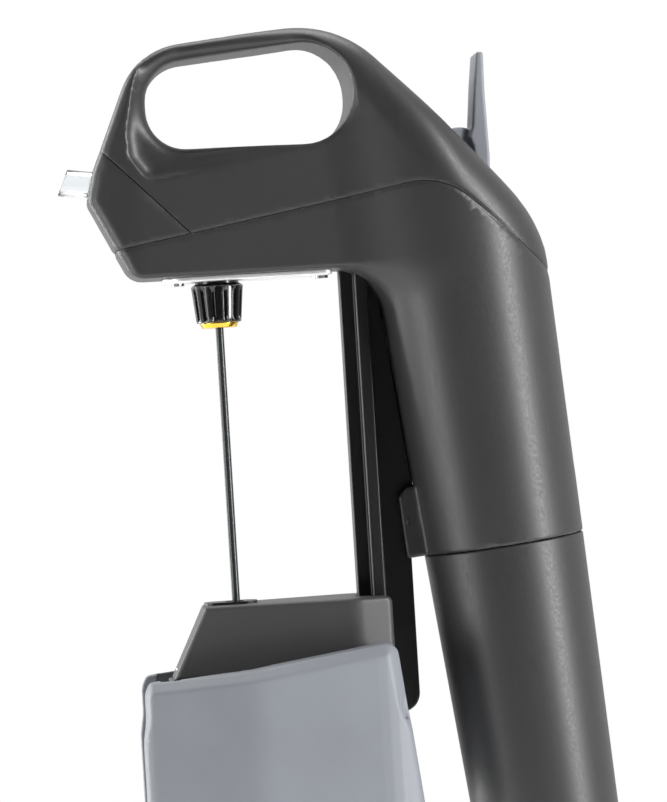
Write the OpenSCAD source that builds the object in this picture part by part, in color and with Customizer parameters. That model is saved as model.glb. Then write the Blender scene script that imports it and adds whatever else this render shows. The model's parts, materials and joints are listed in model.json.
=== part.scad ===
// Hand-pushed needle wine opener with a gas capsule.
// +X runs from the spout to the tube, +Y across, +Z up along the needle.
// The origin is on the needle's axis, in the plane where the bottle's lip stops.

/* [Bottle] */
// Diameter of the bottle neck that the wings grip
neck_d = 28; // [26:0.5:30]
// Thickness of the rubber pad above the bottle's lip
lip_pad_t = 1.6; // [1:0.1:2.2]

/* [Clamp] */
// Height of the clamp block's top above the lip plane
block_h = 22; // [20:0.5:27]
// Width of the block at its rear
block_w = 26; // [24:0.5:28]
// Thickness of the frame under the block
base_t = 5; // [4:0.5:6]
// Width over the closed wings
wing_span = 51; // [49:0.5:60]
// Depth of the wings below the lip plane
wing_drop = 34; // [28:1:42]
// Reach of the wings in front of the needle
wing_front = 24.6; // [22:0.2:28]
// Wall of the wings
wing_wall = 3; // [2:0.25:3.5]
// Thickness of the rubber neck grips
grip_t = 3; // [2.5:0.25:4]
// Diameter of the wing hinge pins
hinge_pin_d = 3; // [2:0.25:3.5]

/* [Head] */
// Open height between the block and the head, with the head raised
gap_h = 77.8; // [65:0.5:94]
// Reach of the head in front of the needle
front_reach = 29.7; // [27:0.1:35]
// Height of the handle's crown above the head's underside, before it's rounded
handle_rise = 58.6; // [56:0.1:70]
// Width of the head at the handle
head_w = 24; // [23:0.5:29]
// Wall of the head and tube shells
shell_wall = 2.4; // [2:0.1:2.8]
// Height of the finger hole's floor above the head's underside
loop_floor = 29.8; // [29.4:0.2:33]
// Thickness of the handle bar over the finger hole
loop_bar = 4.6; // [4:0.2:7]

/* [Tube] */
// Lean of the tube, its foot towards the rear
tube_tilt = 5.5; // [5:0.5:6.5]
// Distance from the rail's front to the tube's axis, at the head's underside
tube_back = 29.3; // [29.2:0.1:32]
// Radius of the tube at the head
tube_r = 20.8; // [20.5:0.1:22]
// Radius of the tube at the seam with the cup
seam_r = 19.2; // [18.8:0.1:19.8]
// Length of the tube from the head's underside to the seam
tube_len = 67.7; // [62:0.5:72]
// Length of the capsule cup
cup_len = 78; // [74:1:94]
// Radius of the cup near its end
cup_end_r = 17.3; // [16.5:0.1:18]

/* [Capsule] */
// Diameter of the gas capsule
capsule_d = 22; // [18:0.25:23]
// Diameter of the capsule's neck
capsule_neck_d = 9; // [7.5:0.25:10]

/* [Needle] */
// Diameter of the needle
needle_d = 1.9; // [1.4:0.05:2.1]
// Height of the needle's tip above the lip plane, with the head raised
tip_z = 8; // [6:0.5:12]
// Diameter of the needle nut at its top
nut_d = 12.5; // [11:0.1:15]
// Height of the needle nut
nut_h = 9.2; // [8:0.2:11]

/* [Rail] */
// Distance from the needle's axis to the rail's front
rail_x = 29; // [28.4:0.1:30]
// Width of the rail's flange
flange_w = 12; // [10:0.2:14]
// Thickness of the rail's web
web_t = 3.2; // [2.5:0.1:4]
// Depth of the rail's tongue, front to back
tongue_d = 3.3; // [2.8:0.1:3.8]
// Thickness of the rail's flange, front to back
flange_t = 3; // [2.5:0.1:3.4]

/* [Trigger] */
// Width of the trigger's fin
trigger_w = 11; // [10.5:0.5:14]
// Height of the fin's top above the head's underside
fin_top = 49.7; // [46:0.5:56]
// Diameter of the trigger's pin
trigger_pin_d = 3; // [2.5:0.25:3.5]

/* [Spout] */
// Outer diameter of the spout
spout_d = 6.4; // [5.6:0.1:7.4]
// Length of the spout in front of the head
spout_out = 8.3; // [6:0.5:10]

/* [Clearances] */
// Gap between parts that slide past each other
slide_gap = 0.3; // [0.25:0.05:0.5]
// Radial clearance of pins and stems that turn or slide in a bore
running_gap = 0.05; // [0.03:0.01:0.08]
// Gap at the seams between the shells
seam_gap = 0.12; // [0.1:0.02:0.2]

/* [Hidden] */
$fn = 64;

head_z = block_h + gap_h;

// rail and tube positions, from front to rear
rail_flange_x = rail_x + tongue_d;
rail_web_x = rail_flange_x + flange_t;
tongue_w = 5;
web_rear_x = rail_x + 13.4;
web_gap = 0.25;
tube_x = rail_x + tube_back;
tube_taper = (tube_r - seam_r) / tube_len;
function tube_front(z) = tube_x - z * tan(tube_tilt) - (tube_r + tube_taper * z) / cos(tube_tilt);
block_rear_x = rail_web_x + 1;
block_front = -7.7;
rail_end_z = -6.4;

// head outline, heights above the head's underside
slope_angle = 46.7;
top_tilt = 5.4;
slope_foot = [tube_x + tube_r - 0.4, 8.2];
crown = [slope_foot[0] - (handle_rise - slope_foot[1]) / tan(slope_angle), handle_rise];
brow_x = 13.5 - front_reach;
brow = [brow_x, handle_rise - (crown[0] - brow_x) * tan(top_tilt)];
apex = [-front_reach, 18.8];
skirt = 90;
chin_slope = 0.5;
head_outline = [
    [-front_reach + (apex[1] + skirt) * chin_slope, -skirt, 0],
    [slope_foot[0] + 14.5, -skirt, 0],
    [slope_foot[0], slope_foot[1], 28],
    [crown[0], crown[1], 25],
    [brow[0], brow[1], 17],
    [1.5 - front_reach, 25.6, 10],
    [apex[0], apex[1], 3]
];

// head outline seen from above
half_plan = [
    [-front_reach - 1, -9, 5],
    [9 - front_reach, -head_w / 2, 14],
    [rail_x - 2, -head_w / 2, 30],
    [tube_x - 8.6, 0.1 - tube_r, 12],
    [tube_x, 0.1 - tube_r, 0]
];
head_plan = concat(half_plan, [for (i = [len(half_plan) - 1:-1:0])
    [half_plan[i][0], -half_plan[i][1], half_plan[i][2]]]);

// finger hole
loop_front = 15 - front_reach;
loop_rear = crown[0] + 2.7;
loop_hole = [
    [loop_front, loop_floor + 0.6, 9.3],
    [loop_rear, loop_floor - 0.5, 11.6],
    [loop_rear, crown[1] - loop_bar + 0.8, 11.4],
    [loop_front, brow[1] - loop_bar + 0.6, 9.5]
];

// seam between handle shell and lower housing, and between front cover and handle shell
seam_knee = [tube_x - 5.4, 20];
seam_rise = 9.7;
seam_fall = 41.9;
seam_front_x = -60;
seam_rear_x = 140;
lower_region = [
    [seam_front_x, -100, 0],
    [seam_rear_x, -100, 0],
    [seam_rear_x, seam_knee[1] - (seam_rear_x - seam_knee[0]) * tan(seam_fall), 0],
    [seam_knee[0], seam_knee[1], 17],
    [seam_front_x, seam_knee[1] - (seam_knee[0] - seam_front_x) * tan(seam_rise), 0]
];
cover_region = [
    [-60, -10, 0],
    [27 - front_reach, -10, 0],
    [27 - front_reach, 6.6, 0],
    [-front_reach - 3, 37.3, 0],
    [-60, 37.3, 0]
];
function seam_z(x) = seam_knee[1] - (seam_knee[0] - x) * tan(seam_rise);

// needle and nut
nut_gap = 1.8;
nut_top_z = head_z - nut_gap;
nut_bottom_z = nut_top_z - nut_h;
ring_t = 1.2;
hub_r = 3;
plate_t = 1.2;
plate_hole_r = 5.8;
nut_neck_r = 5.2;

// manifold
manifold_floor = shell_wall;
manifold_front = -8;
manifold_rear = 11;
manifold_top = 26;
manifold_w = 17;
socket_top = 9.2;
hub_foot = manifold_floor - 0.3;

// spout
spout_tilt = 8;
spout_z = 23.2;
spout_mouth_x = -front_reach + 2;
spout_bore_r = spout_d / 2 - 0.8;
spout_in = 24;
spout_cut = 15;
spout_fit = 0.02;

// gas line
gas_r = 2;
gas_bore_r = 1.2;
gas_z = 7;
gas_bend_r = 8;
gas_bend_x = tube_x - 16.6;
gas_local_x = (gas_bend_x + gas_bend_r * cos(tube_tilt) - tube_x) * cos(tube_tilt)
    + (gas_z - gas_bend_r + gas_bend_r * sin(tube_tilt)) * sin(tube_tilt);
gas_local_top = -(gas_bend_x + gas_bend_r * cos(tube_tilt) - tube_x) * sin(tube_tilt)
    + (gas_z - gas_bend_r + gas_bend_r * sin(tube_tilt)) * cos(tube_tilt);

// regulator, along the tube's axis; zero at the head's underside
seam_t = -tube_len;
collar_h = 12.7;
collar_top = seam_t + collar_h;
thread_r = 13.6;
collar_r = seam_r - shell_wall - 0.1;
reg_r = 13;
reg_top = seam_t + 42.7;
reg_foot = seam_t + 2;
cap_t = 5;
cap_top = reg_top + cap_t;
piston_r = 7;
piston_bore_floor = reg_top - 21;
piston_floor = piston_bore_floor + 4;
piston_t = 5;
stem_r = 1.5;
seal_t = 2;
spigot_r = thread_r - 2.6;
socket_r = capsule_neck_d / 2 + 0.6;
socket_h = 8;

// capsule and cup
capsule_r = capsule_d / 2;
capsule_top = reg_foot + socket_h - seal_t - 0.2;
neck_len = 10;
shoulder_len = 5;
cup_floor_t = 3;
cup_wall = 2.6;
cup_end_t = seam_t - cup_len;
cushion_t = 5;
cushion_floor_t = 2;
capsule_foot = cup_end_t + cup_floor_t + cushion_floor_t + 0.1;
ring_r = thread_r - 1.4;
ring_up = 8;
ring_down = 10;
ring_seat_r = seam_r - cup_wall - 0.1 - 0.3;

// trigger
trigger_x = slope_foot[0] - 19.3;
trigger_z = slope_foot[1] + 16.8;
trigger_hub_r = 7.1;
trigger_hub_w = 7.6;
trigger_slot = trigger_w / 2 + 0.6;
nub_r = 2;
nub = [trigger_x - 3.2, trigger_z - 5.2];
stem_top = (nub[1] - nub_r - 0.5) / cos(tube_tilt);
cheek_in = 8.2;
cheek_t = 2.4;
pin_fit = 0.02;

// clamp
neck_r = neck_d / 2;
grip_r = neck_r + grip_t;
grip_top = -4;
grip_h = 27;
hinge_y = 17.5;
hinge_z = 1.5;
ear_r = hinge_pin_d / 2 + 1;
ear_t = 4;
ear_x = [-2, 24];
knuckle_x = [ear_x[0] + ear_t + 0.4, ear_x[1] - 8];
knuckle_len = 7.6;
spring_x = knuckle_x[0] + knuckle_len + 0.5;
spring_len = knuckle_x[1] - knuckle_x[0] - knuckle_len - 1;
wing_half = wing_span / 2;
wing_center_gap = 10;
wing_top_z = 12;
wing_lean = 0.12;
wing_outline = [
    [-wing_front, -wing_drop, 6],
    [rail_x + 6.5 + (wing_drop + wing_top_z) * wing_lean, -wing_drop, 6],
    [rail_x + 6.5, wing_top_z, 3],
    [2, 7.4, 40],
    [-wing_front, 5.2, 4]
];
wing_plan = [
    [-wing_front, 10.5 - wing_half, 5],
    [2, -wing_half, 20],
    [rail_x + 15.4, -wing_half, 14],
    [rail_x + 15.4, 0, 0],
    [-wing_front, 0, 0]
];
guide_r = 3.5;
guide_fit = 0.03;
lip_pad_r = 12.2;
pad_t = 1.9;

// ---- helpers ----
function unit(v) = v / norm(v);
function pos(p) = [p[0], p[1]];
function turn(a) = a > 180 ? a - 360 : a < -180 ? a + 360 : a;

// arc that rounds the corner b between a and c
function corner(a, b, c, r, n) =
    let (u = unit(a - b), v = unit(c - b), half = acos(u * v) / 2,
         o = b + unit(u + v) * r / sin(half),
         s = b + u * r / tan(half) - o, e = b + v * r / tan(half) - o,
         a0 = atan2(s[1], s[0]), d = turn(atan2(e[1], e[0]) - a0))
    [for (i = [0:n]) o + r * [cos(a0 + d * i / n), sin(a0 + d * i / n)]];

// polygon with rounded corners, from [x, y, radius] points
function rounded(p, n = 7) = [for (i = [0:len(p) - 1])
    let (a = pos(p[(i + len(p) - 1) % len(p)]), b = pos(p[i]), c = pos(p[(i + 1) % len(p)]))
    for (q = p[i][2] > 0 ? corner(a, b, c, p[i][2], n) : [b]) q];

// the same polygon, a distance d further in; its points run anticlockwise
function inset(p, d) = [for (i = [0:len(p) - 1])
    let (a = pos(p[(i + len(p) - 1) % len(p)]), b = pos(p[i]), c = pos(p[(i + 1) % len(p)]),
         e = unit(b - a), f = unit(c - b), m = [-e[1], e[0]], n = [-f[1], f[0]],
         q = b + d * (m + n) / (1 + m * n), bend = e[0] * f[1] - e[1] * f[0])
    [q[0], q[1], p[i][2] == 0 ? 0 : max(0.4, bend > 0 ? p[i][2] - d : p[i][2] + d)]];

// coil spring standing on the XY plane
module coil(mean_r, wire_r, length, turns, per_turn = 14, sides = 6) {
    n = turns * per_turn;
    rise = (length - 2 * wire_r) / n;
    ring = [for (i = [0:n]) for (j = [0:sides - 1])
        let (a = 360 * i / per_turn, b = 360 * j / sides, r = mean_r + wire_r * cos(b))
        [r * cos(a), r * sin(a), wire_r + rise * i + wire_r * sin(b)]];
    tube_solid(ring, n + 1, sides);
}

// closed skin over rings of points, each with the same number of sides
module tube_solid(ring, rings, sides) {
    skin = [for (i = [0:rings - 2]) for (j = [0:sides - 1])
        let (k = (j + 1) % sides, a = i * sides, b = a + sides)
        each [[a + j, b + k, b + j], [a + j, a + k, b + k]]];
    ends = [[for (j = [sides - 1:-1:0]) j], [for (j = [0:sides - 1]) (rings - 1) * sides + j]];
    polyhedron(ring, concat(skin, ends), convexity = 10);
}

// extrudes a polygon drawn in X and Z across the width
module side(w = 80) rotate([90, 0, 0]) linear_extrude(w, center = true) children();
module at_head() translate([0, 0, head_z]) children();
module on_tube() translate([tube_x, 0, head_z]) rotate([0, -tube_tilt, 0]) children();
module on_spout() translate([spout_mouth_x, 0, head_z + spout_z])
    rotate([0, spout_tilt - 90, 0]) children();
module along_x(x, y, z) translate([x, y, z]) rotate([0, 90, 0]) children();
module across(x, z) translate([x, 0, z]) rotate([90, 0, 0]) children();
module both() for (s = [-1, 1]) scale_y(s) children();
module scale_y(s) mirror([0, s < 0 ? 1 : 0, 0]) children();

// ring of round section
module o_ring(mean_r, cord_r) rotate_extrude() translate([mean_r, 0]) circle(cord_r, $fn = 24);

// pan-head screw, pointing down from the underside of its head at the origin
module screw(shaft_r, shaft_len, head_r, head_h) {
    translate([0, 0, -shaft_len]) cylinder(r = shaft_r, h = shaft_len, $fn = 32);
    difference() {
        cylinder(r = head_r, h = head_h, $fn = 32);
        translate([0, 0, head_h * 0.5]) cylinder(r = head_r * 0.45, h = head_h, $fn = 6);
    }
}

// ---- shells of the head ----
module tube_form(d) {
    extra = d > 0 ? 1 : 0;
    translate([0, 0, seam_t - extra])
        cylinder(h = tube_len + extra, r1 = seam_r - tube_taper * extra - d, r2 = tube_r - d, $fn = 96);
    cylinder(h = handle_rise, r = tube_r - d, $fn = 96);
}
module envelope(d = 0) {
    intersection() {
        at_head() side() polygon(rounded(inset(head_outline, d)));
        union() {
            translate([0, 0, head_z + d]) linear_extrude(handle_rise + 5)
                polygon(rounded(inset(head_plan, d)));
            on_tube() tube_form(d);
        }
    }
}
module cavity() {
    difference() {
        envelope(shell_wall);
        at_head() side() polygon(rounded([
            [-60, loop_floor - shell_wall, 0],
            [loop_rear + shell_wall, loop_floor - shell_wall - 0.9, 8],
            [loop_rear + shell_wall, handle_rise + 20, 0],
            [-60, handle_rise + 20, 0]
        ]));
    }
}
module below_seam(raise) at_head() translate([0, 0, raise]) side() polygon(rounded(lower_region));
module front_of_cover(shift) at_head() translate([shift, 0, shift]) side() polygon(rounded(cover_region));

boss_x = 20;
boss_y = 7;
boss_r = 2.8;
boss_screw_r = 1.2;

module handle_shell() color("#3c3c3e") {
    difference() {
        union() {
            difference() {
                envelope();
                cavity();
                at_head() side() polygon(rounded(loop_hole));
                at_head() side(2 * trigger_slot) polygon([
                    [trigger_x - 5.3, trigger_z + 1.8], [trigger_x + 11.5, trigger_z - 16.5],
                    [trigger_x + 11.5, trigger_z + 4], [trigger_x - 5.3, trigger_z + 22]]);
            }
            // cheeks that carry the trigger's pin
            intersection() {
                both() translate([trigger_x - 4, cheek_in, head_z + trigger_z - 5])
                    cube([8, cheek_t, 20]);
                envelope(1);
            }
            // bosses for the housing screws
            both() translate([boss_x, boss_y, head_z + seam_z(boss_x) - 2])
                cylinder(r = boss_r, h = loop_floor - seam_z(boss_x) + 1);
        }
        below_seam(seam_gap);
        front_of_cover(seam_gap);
        across(trigger_x, head_z + trigger_z)
            cylinder(d = trigger_pin_d + 2 * pin_fit, h = 2 * (cheek_in + cheek_t), center = true);
        both() translate([boss_x, boss_y, head_z]) cylinder(r = boss_screw_r, h = seam_z(boss_x) + 8);
    }
}

module spout_cover() color("#38383a") {
    difference() {
        intersection() {
            envelope();
            front_of_cover(0);
        }
        cavity();
        below_seam(seam_gap);
        on_spout() cylinder(r = spout_d / 2 + 0.2, h = 60, center = true);
    }
}

lug_w = 8.4;
lug_front = web_rear_x - 2.6;
lug_top = seam_t * cos(tube_tilt) + 14.8;
rail_pin_r = 1.1;
rail_pin_at = [web_rear_x, seam_t * cos(tube_tilt) + 6.6];

module lower_housing() color("#3e3e40") {
    difference() {
        union() {
            difference() {
                intersection() {
                    envelope();
                    below_seam(0);
                }
                cavity();
            }
            both() translate([boss_x, boss_y, head_z + 0.5])
                cylinder(r = boss_r, h = seam_z(boss_x) - 0.5 - boss_r * tan(seam_rise));
            // lug that holds the rail's foot
            difference() {
                at_head() side(lug_w) polygon([
                    [lug_front + 1.4, -tube_len - 4], [lug_front + 7, -tube_len - 4],
                    [lug_front + 4.6, lug_top], [lug_front + 2.1, lug_top], [lug_front, lug_top - 2.4]]);
                on_tube() translate([0, 0, seam_t - 20]) cylinder(r = 60, h = 20);
                on_tube() translate([0, 0, seam_t - 1]) cylinder(r = seam_r - shell_wall / 2, h = 40);
            }
        }
        // slot for the rail's tab
        at_head() side(web_t + 0.2) polygon([
            [0, -tube_len - 4], [web_rear_x + 1.6, -tube_len - 4],
            [web_rear_x + 1.6, lug_top + 1], [0, lug_top + 1]]);
        across(rail_pin_at[0], head_z + rail_pin_at[1]) cylinder(r = rail_pin_r, h = 30, center = true);
        // needle, rail screw and housing screws
        translate([0, 0, head_z - 1]) cylinder(r = plate_hole_r, h = 6);
        translate([rail_flange_x + flange_t / 2, 0, head_z - 1]) cylinder(r = 1.25, h = 6, $fn = 32);
        both() translate([boss_x, boss_y, head_z - 1]) cylinder(r = boss_screw_r, h = 30, $fn = 32);
        both() translate([boss_x, boss_y, head_z - 1]) cylinder(r = 2.2, h = 2.2, $fn = 32);
        plate_screw_spots() cylinder(r = 0.9, h = 12, center = true, $fn = 32);
    }
}

// ---- underside ----
plate_front = -13;
plate_rear = rail_x - 1.2;
module plate_screw_spots()
    for (x = [plate_front + 3.5, plate_rear - 3]) translate([x, 0, head_z]) children();

module base_plate() color("#c8c8ca") {
    difference() {
        translate([0, 0, head_z - plate_t]) linear_extrude(plate_t) polygon(rounded([
            [plate_front, -9.5, 6], [plate_rear, -9.5, 2], [plate_rear, 9.5, 2], [plate_front, 9.5, 6]]));
        translate([0, 0, head_z - 5]) cylinder(r = plate_hole_r, h = 10);
        plate_screw_spots() cylinder(r = 0.9, h = 12, center = true, $fn = 32);
    }
}
module base_plate_screws() color("#a8a8aa")
    plate_screw_spots() translate([0, 0, -plate_t]) mirror([0, 0, 1]) screw(0.9, 3.4 + plate_t, 1.8, 0.6);

module housing_screws() color("#8c8c8e") both() translate([boss_x, boss_y, head_z + 1.2])
    mirror([0, 0, 1]) screw(boss_screw_r, seam_z(boss_x) + 5, 2.1, 1.1);

// ---- rail ----
module rail() color("#1f1f20") {
    difference() {
        union() {
            at_head() side(tongue_w)
                polygon([[rail_x, rail_end_z - head_z], [rail_web_x, rail_end_z - head_z],
                [rail_web_x, 0], [rail_x, 0]]);
            at_head() side(flange_w) polygon([[rail_flange_x, rail_end_z - head_z],
                [rail_web_x, rail_end_z - head_z], [rail_web_x, 0], [rail_flange_x, 0]]);
            at_head() side(web_t) polygon(rounded([
                [rail_flange_x, rail_end_z - head_z, 0], [web_rear_x, rail_end_z - head_z, 4.5],
                [web_rear_x, -tube_len + 1.2, 0], [web_rear_x + 1.4, -tube_len + 2.2, 0],
                [web_rear_x + 1.4, lug_top - 0.6, 0], [tube_front(lug_top) - web_gap, lug_top + 0.4, 0],
                [tube_front(0) - web_gap, 0, 0], [rail_flange_x, 0, 0]]));
        }
        translate([rail_flange_x + flange_t / 2, 0, head_z - 13]) cylinder(r = 1.25, h = 20, $fn = 32);
        across(rail_pin_at[0], head_z + rail_pin_at[1]) cylinder(r = rail_pin_r, h = 30, center = true);
    }
}
module rail_screw() color("#8c8c8e")
    translate([rail_flange_x + flange_t / 2, 0, head_z + shell_wall]) screw(1.25, 12.5, 2.5, 1.6);
module rail_pin() color("#8c8c8e")
    across(rail_pin_at[0], head_z + rail_pin_at[1]) cylinder(r = rail_pin_r, h = lug_w, center = true);

// ---- wine and gas path ----
module manifold() color("#d8d8da") {
    difference() {
        at_head() side(manifold_w) polygon([
            [manifold_front, manifold_floor], [manifold_rear, manifold_floor],
            [manifold_rear, 12], [6, 16], [6, manifold_top], [manifold_front, manifold_top]]);
        // needle socket, wine channel and gas channel
        translate([0, 0, head_z + 1]) cylinder(r = hub_r + running_gap, h = socket_top - 1);
        translate([0, 0, head_z + 4]) cylinder(r = gas_bore_r, h = spout_z - 4, $fn = 32);
        along_x(manifold_rear - 3, 0, head_z + gas_z) cylinder(r = gas_r, h = 10, $fn = 32);
        along_x(manifold_rear - 5, 0, head_z + gas_z) cylinder(r = gas_bore_r, h = 4, $fn = 32);
        translate([manifold_rear - 5, 0, head_z + gas_z - gas_bore_r])
            cylinder(r = gas_bore_r, h = 6, $fn = 32);
        along_x(0, 0, head_z + gas_z + 4) cylinder(r = gas_bore_r, h = manifold_rear - 5, $fn = 32);
        on_spout() translate([0, 0, -spout_in]) cylinder(r = spout_d / 2 + spout_fit, h = 60);
        on_spout() translate([0, 0, -spout_in - 6]) cylinder(r = gas_bore_r, h = 10, $fn = 32);
        on_spout() translate([0, 0, -spout_in + 1.2]) cylinder(r = spout_d / 2 + 1.4, h = 1.5);
    }
}
module spout() color([0.93, 0.95, 0.96, 0.4]) {
    difference() {
        on_spout() translate([0, 0, -spout_in + 0.1]) difference() {
            cylinder(r = spout_d / 2, h = spout_in + spout_out);
            translate([0, 0, -1]) cylinder(r = spout_bore_r, h = spout_in + spout_out + 2);
        }
        on_spout() translate([-spout_d / 2, 0, spout_out]) rotate([0, spout_cut, 0])
            translate([-5, -10, 0]) cube([30, 20, 12]);
    }
}
module spout_seal() color("#202020")
    on_spout() translate([0, 0, -spout_in + 1.95]) o_ring(spout_d / 2 + 0.7, 0.69);
module needle_seal() color("#202020")
    translate([0, 0, head_z + socket_top - 0.55]) o_ring(hub_r - 0.6, 0.5);

module gas_tube() color("#b87333") difference() {
    pipe(gas_r, 0);
    pipe(gas_bore_r, 1);
}
// bent pipe: along X, round a bend, then down along the tube's axis
module pipe(r, extra, sides = 12, steps = 12) {
    sweep = 90 - tube_tilt;
    down = gas_local_top - cap_top + 2.9 + extra;
    path = concat(
        [[manifold_rear - 2.9 - extra, gas_z, 0]],
        [for (i = [0:steps]) let (a = sweep * i / steps)
            [gas_bend_x + gas_bend_r * sin(a), gas_z - gas_bend_r * (1 - cos(a)), a]],
        [[gas_bend_x + gas_bend_r * sin(sweep) + down * cos(sweep),
            gas_z - gas_bend_r * (1 - cos(sweep)) - down * sin(sweep), sweep]]);
    ring = [for (p = path) for (j = [0:sides - 1]) let (b = 360 * j / sides)
        [p[0] + r * cos(b) * sin(p[2]), r * sin(b), head_z + p[1] + r * cos(b) * cos(p[2])]];
    tube_solid(ring, len(path), sides);
}

// ---- regulator ----
module regulator_body() color("#b9bbbe") on_tube() {
    difference() {
        union() {
            translate([0, 0, reg_foot]) cylinder(r = spigot_r, h = collar_top - reg_foot + 1);
            translate([0, 0, collar_top]) cylinder(r = collar_r, h = 3);
            translate([0, 0, collar_top]) cylinder(r = reg_r, h = reg_top - collar_top);
        }
        translate([0, 0, reg_foot - 1]) cylinder(r = socket_r, h = socket_h + 1);
        translate([0, 0, reg_foot]) cylinder(r = 0.9, h = piston_bore_floor - reg_foot + 1, $fn = 32);
        translate([0, 0, piston_bore_floor]) cylinder(r = piston_r, h = 60);
        regulator_screw_spots() cylinder(r = 0.8, h = 30, center = true, $fn = 32);
        translate([reg_r - 5, 0, reg_top - 8]) rotate([0, 90, 0]) cylinder(r = 2, h = 10, $fn = 32);
    }
}
module regulator_screw_spots() for (a = [30:120:270]) rotate([0, 0, a])
    translate([(reg_r + collar_r) / 2, 0, collar_top + 3]) children();
module regulator_screws() color("#8c8c8e") on_tube()
    regulator_screw_spots() screw(0.8, 9, 1.3, 0.9);
module regulator_cap() color("#a9abae") on_tube() {
    difference() {
        translate([0, 0, reg_top]) cylinder(r = reg_r, h = cap_t);
        translate([0, 0, reg_top - 1]) cylinder(r = stem_r + running_gap, h = cap_t + 2, $fn = 48);
        translate([0, 0, cap_top - 1.6]) cylinder(r = stem_r + 1.6, h = 3, $fn = 48);
        translate([gas_local_x, 0, cap_top - 3]) cylinder(r = gas_r, h = 5, $fn = 32);
        translate([gas_local_x, 0, reg_top - 1]) cylinder(r = gas_bore_r, h = 5, $fn = 32);
    }
}
module stem_seal() color("#202020") on_tube()
    translate([0, 0, cap_top - 0.85]) o_ring(stem_r + 0.83, 0.7);
module relief_valve() color("#c6a14a") on_tube()
    translate([reg_r - 4.9, 0, reg_top - 8]) rotate([0, 90, 0]) {
        cylinder(r = 2, h = 5, $fn = 32);
        translate([0, 0, 4.95]) cylinder(r = 2, h = 1, $fn = 6);
    }
module piercing_pin() color("#cfd0d2") on_tube() {
    difference() {
        union() {
            translate([0, 0, capsule_top - 1.2]) cylinder(r1 = 0.35, r2 = 0.9, h = 1.5, $fn = 32);
            translate([0, 0, capsule_top + 0.3])
                cylinder(r = 0.9, h = piston_bore_floor - capsule_top - 2, $fn = 32);
        }
        translate([0, 0, capsule_top - 2]) cylinder(r = 0.25, h = 40, $fn = 24);
    }
}
module capsule_seal() color("#202020") on_tube()
    translate([0, 0, reg_foot + socket_h - seal_t]) difference() {
        cylinder(r = socket_r - 0.05, h = seal_t - 0.05);
        translate([0, 0, -1]) cylinder(r = 1, h = 5, $fn = 32);
    }
module thread_collar() color("#9a9c9f") on_tube() {
    difference() {
        translate([0, 0, seam_t + 0.3]) cylinder(r = collar_r, h = collar_h - 0.3);
        translate([0, 0, seam_t - 1]) cylinder(r = thread_r + slide_gap, h = 30);
        for (i = [0:2]) translate([0, 0, seam_t + 2 + 3 * i]) cylinder(r = thread_r + 0.9, h = 0.8);
        regulator_screw_spots() cylinder(r = 0.8, h = 30, center = true, $fn = 32);
    }
}

// ---- valve and trigger ----
module valve_stem() color("#cfd0d2") on_tube()
    translate([0, 0, piston_floor + piston_t])
        cylinder(r = stem_r, h = stem_top - piston_floor - piston_t, $fn = 48);
module valve_piston() color("#b08d4c") on_tube()
    translate([0, 0, piston_floor]) difference() {
        cylinder(r = piston_r - running_gap, h = piston_t);
        translate([0, 0, 2]) difference() {
            cylinder(r = piston_r + 1, h = 1);
            translate([0, 0, -1]) cylinder(r = piston_r - 0.9, h = 3);
        }
    }
module valve_spring() color("#8c8c8e") on_tube()
    translate([0, 0, piston_bore_floor]) coil(4.5, 0.4, piston_floor - piston_bore_floor, 3);

module trigger() color("#7d8286") {
    difference() {
        union() {
            across(trigger_x, head_z + trigger_z)
                cylinder(r = trigger_hub_r, h = trigger_hub_w, center = true);
            across(nub[0], head_z + nub[1]) cylinder(r = nub_r, h = 8, center = true, $fn = 32);
            at_head() side(trigger_w) polygon(rounded([
                [trigger_x + 3.4, trigger_z - 3.2, 0], [trigger_x + 5.2, trigger_z - 7.2, 0.8],
                [trigger_x + 6.9, trigger_z - 7.2, 0.8], [trigger_x + 7.1, trigger_z + 1, 12],
                [trigger_x + 6.8, fin_top - 9, 30], [trigger_x + 7, fin_top, 0.8],
                [trigger_x + 5.2, fin_top, 0.8], [trigger_x + 4.2, fin_top - 8, 20],
                [trigger_x + 3.3, trigger_z + 7.2, 1.5], [trigger_x + 2.4, trigger_z + 4.5, 0],
                [trigger_x + 3.2, trigger_z + 2.2, 0]]));
        }
        across(trigger_x, head_z + trigger_z)
            cylinder(r = trigger_pin_d / 2 + running_gap, h = 40, center = true);
    }
}
module trigger_pin() color("#9a9c9f") across(trigger_x, head_z + trigger_z)
    cylinder(d = trigger_pin_d, h = 2 * (cheek_in + cheek_t), center = true);
module trigger_spring() color("#8c8c8e") both()
    translate([trigger_x, trigger_hub_w / 2 + 0.3, head_z + trigger_z]) rotate([-90, 0, 0])
        coil(trigger_pin_d / 2 + 0.5, 0.25, trigger_slot - trigger_hub_w / 2 - 0.5, 2.5, 12);

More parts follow.
